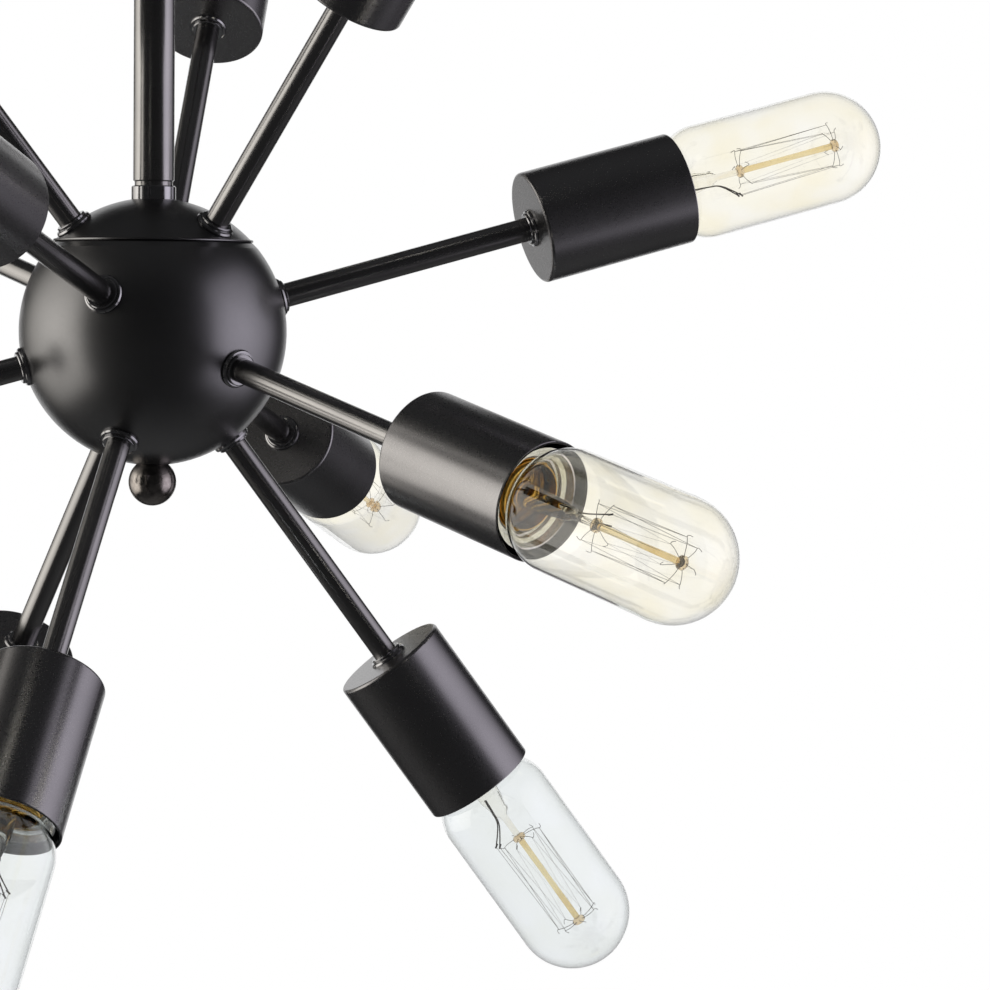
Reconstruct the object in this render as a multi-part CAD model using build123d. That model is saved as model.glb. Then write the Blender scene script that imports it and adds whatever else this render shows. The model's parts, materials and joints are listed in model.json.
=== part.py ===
from build123d import *
import math
import os

# Sputnik chandelier with twelve lamps, hanging from its ceiling canopy.
# Millimetres. The origin is the centre of the ceiling plane, over the stem, and +Z points up.
# +X is to the right and +Y to the back of someone who looks at the front of the lamp.

# ---------------------------------------------------------------- driving dimensions

# Ceiling canopy and the bar that holds it to a ceiling box
CANOPY_RADIUS = 65.0
CANOPY_DEPTH = 26.0
CANOPY_WALL = 1.0
CANOPY_EDGE_RADIUS = 7.0
CANOPY_RIM_WIDTH = 1.8
CROSSBAR_LENGTH = 116.0
CROSSBAR_WIDTH = 22.0
CROSSBAR_THICKNESS = 2.0
CROSSBAR_DROP = 10.0            # the middle of the bar lies this far below its ends
CROSSBAR_MIDDLE_HALF = 17.0     # half length of the lowered middle
CROSSBAR_RAMP = 8.0             # length of each sloping part, beside the middle
NEAR_BOX_SCREW = 34.925         # half the spacing of the screws in a small ceiling box
FAR_BOX_SCREW = 44.45           # and in a large one; one slot takes both
SLOT_RADIUS = 2.25
CANOPY_SCREW_OFFSET = 53.0
CANOPY_SCREW_RADIUS = 2.0
CAP_NUT_RADIUS = 5.0

# Swivel below the canopy
THREAD_RADIUS = 5.0             # M10 lamp thread on the yoke, the rods and the ball's tube
THREAD_BORE = 3.5
FIT = 0.05                      # radial clearance of screwed and running fits
YOKE_RADIUS = 11.0
YOKE_BASE = 8.0
PIVOT_Z = -47.0
PIN_RADIUS = 2.5
PIN_HEAD_RADIUS = 4.0
PIN_HEAD_HEIGHT = 2.4
TONGUE_HALF = 4.85
SLOT_HALF = 5.0
EAR_RADIUS = 9.5
TONGUE_EYE_RADIUS = 9.0
TONGUE_SHOULDER_Z = -60.0
TONGUE_BODY_RADIUS = 10.0
TONGUE_END_Z = -74.0

# Stem
ROD_RADIUS = 8.0
ROD_BORE = 6.5
UPPER_ROD_LENGTH = 150.0
LOWER_ROD_LENGTH = 300.0
SPIGOT_LENGTH = 12.0
SOCKET_DEPTH = 14.0
NECK_RADIUS = 7.4
NECK_HEIGHT = 1.6
COLLAR_RADIUS = 8.65
COLLAR_TOP = 56.6               # above the centre of the ball

# Ball
BALL_RADIUS = 52.0
BALL_WALL = 1.2
SEAM_Z = 35.0                   # the lid's lip lies on the body here, above the centre
LIP_RADIUS = 38.8
LIP_HEIGHT = 0.8
BODY_EDGE_RADIUS = 37.9
FINIAL_RADIUS = 9.3
FINIAL_Z = -58.5
CENTRE_TUBE_TOP = 70.0
CENTRE_TUBE_BOTTOM = -61.0

# Arms, with every distance along an arm taken from the centre of the ball
ARM_RADIUS = 4.75
ARM_BORE = 2.8
ARM_THREAD_RADIUS = 4.0
ARM_HOLE_RADIUS = 4.1
FERRULE_RADIUS = 7.6
FERRULE_FLANGE = 1.3
FERRULE_COLLAR_RADIUS = 6.3
FERRULE_COLLAR = 1.1
FERRULE_RECESS = 0.6            # depth to which the arm's end sinks into the ferrule
NUT_ACROSS_FLATS = 12.0
NUT_HEIGHT = 3.0
CUP_START = 159.0
CUP_LENGTH = 63.0
CUP_RADIUS = 22.5
CUP_WALL = 1.2
CUP_BACK = 1.5
CUP_EDGE_RADIUS = 1.2
CUP_LIP_RADIUS = 0.4

# Lampholder with medium (26 mm) screw shell
HOLDER_RADIUS = 18.2
HOLDER_FLOOR = 188.0
HOLDER_FLOOR_THICKNESS = 4.0
HOLDER_MOUTH = 213.0
SHELL_RADIUS = 13.6
SHELL_WALL = 0.3
RING_RADIUS = 19.2
RING_FRONT = 219.0
RING_SEAT_RADIUS = 14.6

# Bulb, tubular with a long filament cage
BULB_RADIUS = 23.0
BULB_TIP = 310.0
BULB_GLASS_WALL = 0.9
NECK_GLASS_RADIUS = 12.2
NECK_GLASS_START = 204.0
SHOULDER_START = 214.0
SHOULDER_END = 234.0
SHOULDER_HOLLOW_RADIUS = 6.5
CAP_RADIUS = 13.0
CAP_WALL = 0.5
CAP_START = 193.5
CAP_END = 216.0
CONTACT_START = 190.5
NEAR_HUB = 248.5
FAR_HUB = 290.5
HUB_RADIUS = 2.65
HUB_HEIGHT = 2.2
HOOK_REACH = 9.2
HOOKS_PER_HUB = 6

# Four rings of three arms: latitude on the ball and the azimuth of each arm, in degrees.
# The lid was screwed down a little further round than the holes in the body.
RINGS = {
    "lid": (52.0, (77.0, 197.0, 317.0)),
    "upper": (15.5, (11.0, 128.0, 248.0)),
    "lower": (-15.5, (69.0, 190.0, 310.0)),
    "base": (-53.5, (9.0, 124.0, 246.0)),
}

# ---------------------------------------------------------------- places worked out from them

UPPER_ROD_END = TONGUE_END_Z - UPPER_ROD_LENGTH
LOWER_ROD_END = UPPER_ROD_END - LOWER_ROD_LENGTH
BALL_Z = LOWER_ROD_END - COLLAR_TOP
CUP_END = CUP_START + CUP_LENGTH
FERRULE_HEIGHT = FERRULE_FLANGE + FERRULE_COLLAR
BALL_FERRULE_TOP = BALL_RADIUS + FERRULE_HEIGHT
CUP_FERRULE_TOP = CUP_START - FERRULE_HEIGHT
BALL_NUT_TOP = math.sqrt((BALL_RADIUS - BALL_WALL) ** 2 - (NUT_ACROSS_FLATS / math.sqrt(3)) ** 2)
HOLDER_FOOT = CUP_START + CUP_BACK
HOLDER_NUT_START = HOLDER_FOOT + 3.0


# ---------------------------------------------------------------- helpers

def spun(*edges):
    """A solid of revolution about Z from the edges of its half section, as (radius, height)."""
    half_section = make_face(Curve() + list(edges))
    return revolve(Plane.XZ * half_section, Axis.Z)


def turned(*points):
    """A solid of revolution about Z from the corners of its half section."""
    return spun(Polyline(*points, close=True))


def tube(outer, inner, low, high):
    """A round tube about Z."""
    return turned((inner, low), (outer, low), (outer, high), (inner, high))


def hex_nut(low, across_flats, height, bore):
    """A hexagon nut about Z with its lower face at a height."""
    corner_radius = across_flats / math.sqrt(3)
    blank = Pos(0, 0, low) * extrude(RegularPolygon(corner_radius, 6), height)
    return blank - tube(bore, 0, low - 1, low + height + 1)


def moved(shape, *places):
    """Copies of a shape at each place, as one compound of separate solids."""
    return Compound(children=[place * piece for place in places for piece in shape.solids()])


def arm_frame(latitude, azimuth):
    """Frame at the centre of the ball with its Z axis out along one arm."""
    around = math.radians(azimuth)
    above = math.radians(latitude)
    level = Vector(math.cos(around), math.sin(around), 0)
    out = level * math.cos(above) + Vector(0, 0, math.sin(above))
    side = Vector(-math.sin(around), math.cos(around), 0)
    return Plane(origin=(0, 0, BALL_Z), x_dir=side, z_dir=out).location


ARMS = {
    f"{ring}_{number}": arm_frame(latitude, azimuth)
    for ring, (latitude, azimuths) in RINGS.items()
    for number, azimuth in enumerate(azimuths, start=1)
}


def ring_frames(*rings):
    return [frame for name, frame in ARMS.items() if name.rsplit("_", 1)[0] in rings]


# ---------------------------------------------------------------- canopy

def canopy():
    """Spun steel cup, open to the ceiling, with a flat rim and a soft lower edge."""
    def bowl(inset, top):
        radius = CANOPY_RADIUS - inset
        bottom = -CANOPY_DEPTH + inset
        bend = CANOPY_EDGE_RADIUS - inset
        floor = Line((0, bottom), (radius - bend, bottom))
        corner = TangentArc((radius - bend, bottom), (radius, bottom + bend), tangent=(1, 0))
        wall = Line((radius, bottom + bend), (radius, top))
        mouth = Line((radius, top), (0, top))
        axis = Line((0, top), (0, bottom))
        return spun(floor, corner, wall, mouth, axis)

    shell = bowl(0, 0) - bowl(CANOPY_WALL, 1)
    rim = tube(CANOPY_RADIUS, CANOPY_RADIUS - CANOPY_RIM_WIDTH, -CANOPY_WALL, 0)
    shell = shell + rim
    shell -= tube(THREAD_RADIUS + 0.3, 0, -CANOPY_DEPTH - 1, 0)
    for side in (-1, 1):
        hole = tube(CANOPY_SCREW_RADIUS + 0.3, 0, -CANOPY_DEPTH - 1, 0)
        shell -= Pos(side * CANOPY_SCREW_OFFSET, 0, 0) * hole
    return shell


def crossbar():
    """Pressed steel bar: its ends lie on the ceiling and its middle is lowered for the nuts."""
    end = CROSSBAR_LENGTH / 2
    ramp_end = CROSSBAR_MIDDLE_HALF + CROSSBAR_RAMP
    top = [(-end, 0), (-ramp_end, 0), (-CROSSBAR_MIDDLE_HALF, -CROSSBAR_DROP),
           (CROSSBAR_MIDDLE_HALF, -CROSSBAR_DROP), (ramp_end, 0), (end, 0)]
    bottom = [(x, z - CROSSBAR_THICKNESS) for x, z in reversed(top)]
    side_view = Plane.XZ * make_face(Polyline(*top, *bottom, close=True))
    bar = extrude(side_view, CROSSBAR_WIDTH / 2, both=True)
    corner_edges = bar.edges().filter_by(Axis.Z).filter_by(lambda e: abs(e.center().X) > end - 1)
    bar = fillet(corner_edges, 4)
    bar -= tube(THREAD_RADIUS + FIT, 0, -CROSSBAR_DROP - 5, 1)
    slot_length = FAR_BOX_SCREW - NEAR_BOX_SCREW + 2 * SLOT_RADIUS
    slot = extrude(SlotOverall(slot_length, 2 * SLOT_RADIUS), 10, both=True)
    slot_centre = (NEAR_BOX_SCREW + FAR_BOX_SCREW) / 2
    for side in (-1, 1):
        bar -= Pos(side * slot_centre, 0, 0) * slot
        bar -= Pos(side * CANOPY_SCREW_OFFSET, 0, 0) * tube(CANOPY_SCREW_RADIUS + FIT, 0, -5, 1)
    return bar


def canopy_screw():
    """Long machine screw that hangs from the bar; the cap nut pulls the canopy up on it."""
    return tube(CANOPY_SCREW_RADIUS, 0, -CANOPY_DEPTH - 4, -0.2)


def canopy_cap_nut():
    """Round knob with a threaded blind hole and a small washer face."""
    seat = -CANOPY_DEPTH
    ball_z = seat - 0.8 * CAP_NUT_RADIUS
    knob = Pos(0, 0, ball_z) * Sphere(CAP_NUT_RADIUS)
    knob -= Pos(0, 0, seat + CAP_NUT_RADIUS) * Box(20, 20, 2 * CAP_NUT_RADIUS)
    knob -= tube(CANOPY_SCREW_RADIUS + FIT, 0, seat - 4.5, seat + 1)
    return knob


# ---------------------------------------------------------------- swivel

def swivel_yoke():
    """Fork with a hollow threaded shank: the shank goes up through the canopy and the bar."""
    base_bottom = -CANOPY_DEPTH - YOKE_BASE
    body = tube(YOKE_RADIUS, 0, PIVOT_Z - EAR_RADIUS, -CANOPY_DEPTH)
    body = chamfer(body.faces().sort_by(Axis.Z)[-1].edges(), 1.2)
    slot = Box(4 * YOKE_RADIUS, 2 * SLOT_HALF, base_bottom - PIVOT_Z + EAR_RADIUS + 2)
    slot_height = (base_bottom + PIVOT_Z - EAR_RADIUS - 2) / 2
    body -= Pos(0, 0, slot_height) * slot
    round_end = Pos(0, 0, PIVOT_Z) * Rot(90, 0, 0) * Cylinder(EAR_RADIUS, 4 * YOKE_RADIUS)
    square_end = Pos(0, 0, PIVOT_Z - YOKE_RADIUS) * Box(40, 40, 2 * YOKE_RADIUS)
    body -= square_end - round_end
    body -= Pos(0, 0, PIVOT_Z) * Rot(90, 0, 0) * Cylinder(PIN_RADIUS + FIT, 40)
    shank = tube(THREAD_RADIUS, 0, -CANOPY_DEPTH - 1, -3)
    wire_way = tube(THREAD_BORE, 0, base_bottom - 1, 0)
    return body + shank - wire_way


def yoke_nuts():
    """Three thin nuts on the shank: above the bar, below it and inside the canopy."""
    bore = THREAD_RADIUS + FIT
    height = 3.2
    return [
        hex_nut(-CROSSBAR_DROP, 14, height, bore),
        hex_nut(-CROSSBAR_DROP - CROSSBAR_THICKNESS - height, 14, height, bore),
        hex_nut(-CANOPY_DEPTH + CANOPY_WALL, 14, height, bore),
    ]


def pivot_pin():
    """Headed pin across the fork, riveted over at its far end."""
    half = YOKE_RADIUS + 0.1
    pin = turned(
        (0, -half - PIN_HEAD_HEIGHT), (PIN_HEAD_RADIUS - 0.6, -half - PIN_HEAD_HEIGHT),
        (PIN_HEAD_RADIUS, -half - PIN_HEAD_HEIGHT + 0.6), (PIN_HEAD_RADIUS, -half),
        (PIN_RADIUS, -half), (PIN_RADIUS, half), (PIN_HEAD_RADIUS - 0.4, half),
        (PIN_HEAD_RADIUS - 0.9, half + 1.2), (0, half + 1.6),
    )
    return Pos(0, 0, PIVOT_Z) * Rot(90, 0, 0) * pin


def swivel_tongue():
    """Flat eye between the ears, on a round body with a threaded socket for the rod."""
    eye = Pos(0, 0, PIVOT_Z) * Rot(90, 0, 0) * Cylinder(TONGUE_EYE_RADIUS, 2 * TONGUE_HALF)
    stalk_height = PIVOT_Z - TONGUE_SHOULDER_Z + 1
    stalk = Box(2 * TONGUE_EYE_RADIUS, 2 * TONGUE_HALF, stalk_height)
    stalk = Pos(0, 0, PIVOT_Z - stalk_height / 2) * stalk
    body = tube(TONGUE_BODY_RADIUS, 0, TONGUE_END_Z, TONGUE_SHOULDER_Z)
    body = chamfer(body.edges().filter_by(GeomType.CIRCLE), 1.0)
    tongue = eye + stalk + body
    tongue -= Pos(0, 0, PIVOT_Z) * Rot(90, 0, 0) * Cylinder(PIN_RADIUS + FIT, 40)
    tongue -= tube(THREAD_RADIUS + FIT, 0, TONGUE_END_Z - 1, TONGUE_END_Z + SPIGOT_LENGTH + 1)
    return tongue


# ---------------------------------------------------------------- stem

def upper_rod():
    """Tube with a threaded spigot at each end."""
    top = TONGUE_END_Z
    bottom = UPPER_ROD_END
    return turned(
        (THREAD_BORE, top + SPIGOT_LENGTH), (THREAD_RADIUS, top + SPIGOT_LENGTH),
        (THREAD_RADIUS, top), (ROD_RADIUS - 0.4, top), (ROD_RADIUS, top - 0.4),
        (ROD_RADIUS, bottom + 0.4), (ROD_RADIUS - 0.4, bottom), (THREAD_RADIUS, bottom),
        (THREAD_RADIUS, bottom - SPIGOT_LENGTH), (THREAD_BORE, bottom - SPIGOT_LENGTH),
    )


def lower_rod():
    """Tube with a threaded socket at each end and a polished neck where it meets the collar."""
    top = UPPER_ROD_END
    bottom = LOWER_ROD_END
    neck_top = bottom + NECK_HEIGHT
    bore = THREAD_RADIUS + FIT
    return turned(
        (bore, top), (ROD_RADIUS - 0.4, top), (ROD_RADIUS, top - 0.4),
        (ROD_RADIUS, neck_top + 0.5), (ROD_RADIUS - 0.5, neck_top), (NECK_RADIUS, neck_top),
        (NECK_RADIUS, bottom), (bore, bottom), (bore, bottom + SOCKET_DEPTH),
        (ROD_BORE, bottom + SOCKET_DEPTH), (ROD_BORE, top - SOCKET_DEPTH),
        (bore, top - SOCKET_DEPTH),
    )


def stem_collar():
    """Lock ring between the rod and the lid, hollowed below to the curve of the lid."""
    ring = turned(
        (THREAD_RADIUS + FIT, BALL_RADIUS - 3), (COLLAR_RADIUS, BALL_RADIUS - 3),
        (COLLAR_RADIUS, COLLAR_TOP - 0.4), (COLLAR_RADIUS - 0.4, COLLAR_TOP),
        (THREAD_RADIUS + FIT, COLLAR_TOP),
    )
    return Pos(0, 0, BALL_Z) * (ring - Sphere(BALL_RADIUS))


# ---------------------------------------------------------------- ball

def ball_between(radius, low, high):
    """The slice of a solid ball between two heights."""
    slab = Box(3 * radius, 3 * radius, high - low)
    return Sphere(radius) & Pos(0, 0, (low + high) / 2) * slab


def drilled(shell, rings):
    """The shell with a hole for each arm of the named rings."""
    drill = tube(ARM_HOLE_RADIUS, 0, BALL_RADIUS - 20, BALL_RADIUS + 20)
    to_ball = Pos(0, 0, -BALL_Z)
    for frame in ring_frames(*rings):
        shell -= to_ball * frame * drill
    return shell


def ball_lid():
    """Spun cap that closes the ball; its lip stands just proud of the body below."""
    lip_top = SEAM_Z + LIP_HEIGHT
    inner = BALL_RADIUS - BALL_WALL
    cap = ball_between(BALL_RADIUS, SEAM_Z, BALL_RADIUS + 1)
    lip = tube(LIP_RADIUS, 0, SEAM_Z, lip_top)
    lip = fillet(lip.edges().filter_by(GeomType.CIRCLE).sort_by(Axis.Z)[-1], LIP_HEIGHT / 2)
    cap = cap + lip
    cap -= Sphere(inner)
    cap -= tube(THREAD_RADIUS + 0.2, 0, 0, BALL_RADIUS + 1)
    return Pos(0, 0, BALL_Z) * drilled(cap, ["lid"])


def ball_body():
    """Spun bowl with a rolled edge on which the lid's lip lies."""
    inner = BALL_RADIUS - BALL_WALL
    roll = 3.0
    roll_start = SEAM_Z - 2.6
    start_radius = math.sqrt(BALL_RADIUS ** 2 - roll_start ** 2)
    bowl = ball_between(BALL_RADIUS, -BALL_RADIUS - 1, SEAM_Z)
    rolled = turned(
        (BODY_EDGE_RADIUS, SEAM_Z), (start_radius + roll, SEAM_Z),
        (start_radius + roll, roll_start), (start_radius, roll_start),
        (BODY_EDGE_RADIUS + 0.9, SEAM_Z - 0.7),
    )
    bowl -= rolled
    bowl -= Sphere(inner)
    edge_lining = tube(BODY_EDGE_RADIUS, BODY_EDGE_RADIUS - BALL_WALL, SEAM_Z - 1.2, SEAM_Z)
    bowl = bowl + edge_lining
    bowl -= tube(THREAD_RADIUS + 0.2, 0, -BALL_RADIUS - 1, 0)
    return Pos(0, 0, BALL_Z) * drilled(bowl, ["upper", "lower", "base"])


def centre_tube():
    """Threaded tube that ties rod, collar, lid, body and finial together."""
    shaft = tube(THREAD_RADIUS, THREAD_BORE, CENTRE_TUBE_BOTTOM, CENTRE_TUBE_TOP)
    return Pos(0, 0, BALL_Z) * shaft


def finial():
    """Round nut under the ball, cut to the ball's curve where it bears on it."""
    knob = Pos(0, 0, FINIAL_Z) * Sphere(FINIAL_RADIUS)
    knob -= Sphere(BALL_RADIUS)
    knob -= tube(THREAD_RADIUS + FIT, 0, CENTRE_TUBE_BOTTOM - 0.5, 0)
    return Pos(0, 0, BALL_Z) * knob


# ---------------------------------------------------------------- arms

def ferrule(seat):
    """Stepped ring about Z: rounded flange, collar, and a recess for the end of the arm."""
    collar_top = seat + FERRULE_HEIGHT
    flange_top = seat + FERRULE_FLANGE
    return turned(
        (ARM_HOLE_RADIUS, seat - 1), (FERRULE_RADIUS - 0.1, seat - 1),
        (FERRULE_RADIUS, seat + 0.35), (FERRULE_RADIUS - 0.35, flange_top - 0.25),
        (FERRULE_RADIUS - 0.9, flange_top), (FERRULE_COLLAR_RADIUS, flange_top),
        (FERRULE_COLLAR_RADIUS, collar_top - 0.3), (FERRULE_COLLAR_RADIUS - 0.4, collar_top),
        (ARM_RADIUS + FIT, collar_top), (ARM_RADIUS + FIT, collar_top - FERRULE_RECESS),
        (ARM_HOLE_RADIUS, collar_top - FERRULE_RECESS),
    )


def ball_ferrule():
    return ferrule(BALL_RADIUS) - Sphere(BALL_RADIUS)


def cup_ferrule():
    flat = ferrule(0) - Pos(0, 0, -5) * Box(40, 40, 10)
    return Pos(0, 0, CUP_START) * Rot(180, 0, 0) * flat


def arm():
    """Straight tube with a turned, threaded end in the ball and another in the cup."""
    start = BALL_FERRULE_TOP - FERRULE_RECESS
    end = CUP_FERRULE_TOP + FERRULE_RECESS
    thread_start = BALL_NUT_TOP - NUT_HEIGHT - 2
    thread_end = HOLDER_NUT_START + NUT_HEIGHT + 1.5
    return turned(
        (ARM_BORE, thread_start), (ARM_THREAD_RADIUS, thread_start), (ARM_THREAD_RADIUS, start),
        (ARM_RADIUS, start), (ARM_RADIUS, end), (ARM_THREAD_RADIUS, end),
        (ARM_THREAD_RADIUS, thread_end), (ARM_BORE, thread_end),
    )


def arm_nut(low):
    return hex_nut(low, NUT_ACROSS_FLATS, NUT_HEIGHT, ARM_THREAD_RADIUS + FIT)


def cup():
    """Deep drawn cup: closed round back with a small edge radius and an open front."""
    edge = CUP_EDGE_RADIUS
    lip = CUP_LIP_RADIUS
    inner = CUP_RADIUS - CUP_WALL
    floor = CUP_START + CUP_BACK
    blank = Cylinder(CUP_RADIUS, CUP_LENGTH, align=(Align.CENTER, Align.CENTER, Align.MIN))
    blank = Pos(0, 0, CUP_START) * blank
    blank = fillet(blank.faces().sort_by(Axis.Z)[0].edges(), edge)
    blank -= tube(inner, 0, floor, CUP_END + 1)
    rim_edges = blank.faces().sort_by(Axis.Z)[-1].edges()
    blank = fillet(rim_edges, lip)
    return blank - tube(ARM_HOLE_RADIUS, 0, CUP_START - 1, floor + 1)


# ---------------------------------------------------------------- lampholder

def lampholder():
    """Porcelain holder: foot for the arm's nut, wire chamber, floor and bore for the shell."""
    floor = HOLDER_FLOOR
    under_floor = floor - HOLDER_FLOOR_THICKNESS
    bore = SHELL_RADIUS + FIT
    chamber = 12.0
    return turned(
        (ARM_HOLE_RADIUS, HOLDER_FOOT), (HOLDER_RADIUS - 3, HOLDER_FOOT),
        (HOLDER_RADIUS, HOLDER_FOOT + 3), (HOLDER_RADIUS, HOLDER_MOUTH), (bore, HOLDER_MOUTH),
        (bore, floor), (1.6, floor), (1.6, under_floor), (chamber, under_floor),
        (chamber, HOLDER_NUT_START), (ARM_HOLE_RADIUS, HOLDER_NUT_START),
    )


def screw_shell():
    """Thin brass shell that lines the bore; its rounded thread is left plain here."""
    inner = SHELL_RADIUS - SHELL_WALL
    floor = HOLDER_FLOOR
    return turned(
        (6, floor), (SHELL_RADIUS, floor), (SHELL_RADIUS, HOLDER_MOUTH),
        (inner, HOLDER_MOUTH), (inner, floor + SHELL_WALL), (6, floor + SHELL_WALL),
    )


def socket_contact():
    """Centre contact: rivet through the floor with a sprung tongue under the bulb."""
    floor = HOLDER_FLOOR
    return turned(
        (0, floor - HOLDER_FLOOR_THICKNESS - 0.6), (2.6, floor - HOLDER_FLOOR_THICKNESS - 0.6),
        (2.6, floor - HOLDER_FLOOR_THICKNESS), (1.5, floor - HOLDER_FLOOR_THICKNESS),
        (1.5, floor), (4.5, floor), (4.5, floor + 0.6), (1.8, CONTACT_START), (0, CONTACT_START),
    )


def socket_ring():
    """Bright spun ring on the mouth of the lampholder, stepped down to the screw shell."""
    wall = 0.8
    return turned(
        (RING_SEAT_RADIUS, HOLDER_MOUTH), (RING_RADIUS, HOLDER_MOUTH), (RING_RADIUS, RING_FRONT),
        (RING_RADIUS - wall, RING_FRONT), (RING_RADIUS - wall - 0.6, HOLDER_MOUTH + 2.6),
        (RING_SEAT_RADIUS + 1.4, HOLDER_MOUTH + 2.0),
        (RING_SEAT_RADIUS + 1.0, HOLDER_MOUTH + wall), (RING_SEAT_RADIUS, HOLDER_MOUTH + wall),
    )


# ---------------------------------------------------------------- bulb

def bulb_form(inset, start):
    """Solid of the bulb's outer form, or of its inside when it is inset by the glass."""
    neck = NECK_GLASS_RADIUS - inset
    body = BULB_RADIUS - inset
    rise = body - neck
    run = SHOULDER_END - SHOULDER_START
    bend = 2 * math.atan(rise / run)
    hollow = SHOULDER_HOLLOW_RADIUS + inset
    turn = (neck + hollow * (1 - math.cos(bend)), SHOULDER_START + hollow * math.sin(bend))
    crown = BULB_TIP - BULB_RADIUS
    return spun(
        Line((0, start), (neck, start)),
        Line((neck, start), (neck, SHOULDER_START)),
        TangentArc((neck, SHOULDER_START), turn, tangent=(0, 1)),
        TangentArc((body, SHOULDER_END), turn, tangent=(0, -1)),
        Line((body, SHOULDER_END), (body, crown)),
        TangentArc((body, crown), (0, crown + body), tangent=(0, 1)),
        Line((0, crown + body), (0, start)),
    )


def bulb_envelope():
    """Thin glass: straight neck, rounded shoulder, cylinder and half-round tip."""
    return bulb_form(0, NECK_GLASS_START) - bulb_form(BULB_GLASS_WALL, NECK_GLASS_START - 1)


def bulb_stem():
    """Inner glass: flare sealed in the neck, narrow tube, pinch and the rod to the first hub."""
    flare = NECK_GLASS_RADIUS - BULB_GLASS_WALL
    return turned(
        (0, NECK_GLASS_START + 1.2), (flare, NECK_GLASS_START), (flare, NECK_GLASS_START + 1.2),
        (4.0, 212), (3.2, 224), (2.6, 229), (2.9, 231), (1.6, 233.5), (1.4, NEAR_HUB),
        (0, NEAR_HUB),
    )


def bulb_cap():
    """Brass screw cap as a thin cup, without its thread."""
    inner = CAP_RADIUS - CAP_WALL
    shoulder = CAP_START + 3
    return turned(
        (6.6, CAP_START), (8.4, CAP_START), (CAP_RADIUS, shoulder), (CAP_RADIUS, CAP_END),
        (inner, CAP_END), (inner, shoulder + 0.4), (8.1, CAP_START + 0.7),
        (6.6, CAP_START + 0.7),
    )


def bulb_insulator():
    """Black glass disc between the cap and its centre contact."""
    return turned(
        (3.6, CAP_START - 1.6), (6.6, CAP_START - 0.4), (6.6, CAP_START + 1.6),
        (0, CAP_START + 1.6), (0, CAP_START - 0.6), (3.6, CAP_START - 0.6),
    )


def bulb_contact():
    return turned(
        (0, CONTACT_START), (2.2, CONTACT_START), (3.6, CONTACT_START + 1.0),
        (3.6, CAP_START - 0.6), (0, CAP_START - 0.6),
    )


def strut(start, end, radius):
    """Three-sided wire between two points."""
    start = Vector(*start)
    end = Vector(*end)
    across = Plane(origin=start, z_dir=end - start)
    return extrude(across * RegularPolygon(radius, 3), (end - start).length)


def polar(radius, degrees, height):
    angle = math.radians(degrees)
    return (radius * math.cos(angle), radius * math.sin(angle), height)


def filament_cage():
    """Two glass hubs on a rod, hooks that radiate from them, and the filament strung between."""
    hook_radius = 0.22
    filament_radius = 0.14
    lead_radius = 0.4
    near_tip = NEAR_HUB - 0.4
    far_tip = FAR_HUB - 3.4
    step = 360 / HOOKS_PER_HUB
    near_middle = NEAR_HUB + HUB_HEIGHT / 2
    far_middle = FAR_HUB + HUB_HEIGHT / 2
    cage = tube(HUB_RADIUS, 0, NEAR_HUB, NEAR_HUB + HUB_HEIGHT)
    cage += tube(1.25, 0, NEAR_HUB + HUB_HEIGHT, FAR_HUB)
    cage += tube(HUB_RADIUS, 0, FAR_HUB, FAR_HUB + HUB_HEIGHT)
    wires = []
    for hook in range(HOOKS_PER_HUB):
        near_angle = hook * step
        far_angle = near_angle + step / 2
        near_end = polar(HOOK_REACH, near_angle, near_tip)
        far_end = polar(HOOK_REACH, far_angle, far_tip)
        wires.append(strut(polar(1.5, near_angle, near_middle), near_end, hook_radius))
        wires.append(strut(polar(1.5, far_angle, far_middle), far_end, hook_radius))
        wires.append(strut(near_end, far_end, filament_radius))
        if hook < HOOKS_PER_HUB - 1:
            next_end = polar(HOOK_REACH, near_angle + step, near_tip)
            wires.append(strut(far_end, next_end, filament_radius))
    for angle in (-0.5 * step - 14, -0.5 * step + 14):
        pinch_side = polar(2.3, angle, 233.6)
        wires.append(strut(pinch_side, polar(HOOK_REACH, angle, 246), lead_radius))
    return cage, wires


# ---------------------------------------------------------------- the parts and their files

def fixed_parts():
    screw_places = [Pos(side * CANOPY_SCREW_OFFSET, 0, 0) for side in (-1, 1)]
    return {
        "canopy": canopy(),
        "crossbar": crossbar(),
        "canopy_screws": moved(canopy_screw(), *screw_places),
        "canopy_cap_nuts": moved(canopy_cap_nut(), *screw_places),
        "swivel_yoke": swivel_yoke(),
        "yoke_nuts": Compound(children=yoke_nuts()),
        "pivot_pin": pivot_pin(),
    }


def stem_parts():
    every_arm = list(ARMS.values())
    ferrules = Compound(children=[ball_ferrule(), cup_ferrule()])
    nuts = Compound(children=[arm_nut(BALL_NUT_TOP - NUT_HEIGHT), arm_nut(HOLDER_NUT_START)])
    return {
        "swivel_tongue": swivel_tongue(),
        "upper_rod": upper_rod(),
        "lower_rod": lower_rod(),
        "stem_collar": stem_collar(),
        "ball_lid": ball_lid(),
        "ball_body": ball_body(),
        "centre_tube": centre_tube(),
        "finial": finial(),
        "arm_ferrules": moved(ferrules, *every_arm),
        "arm_lock_nuts": moved(nuts, *every_arm),
        "lid_arms": moved(arm(), *ring_frames("lid")),
        "side_arms": moved(arm(), *ring_frames("upper", "lower")),
        "base_arms": moved(arm(), *ring_frames("base")),
        "lampholders": moved(lampholder(), *every_arm),
        "screw_shells": moved(screw_shell(), *every_arm),
        "socket_contacts": moved(socket_contact(), *every_arm),
        "socket_rings": moved(socket_ring(), *every_arm),
    }


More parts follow.
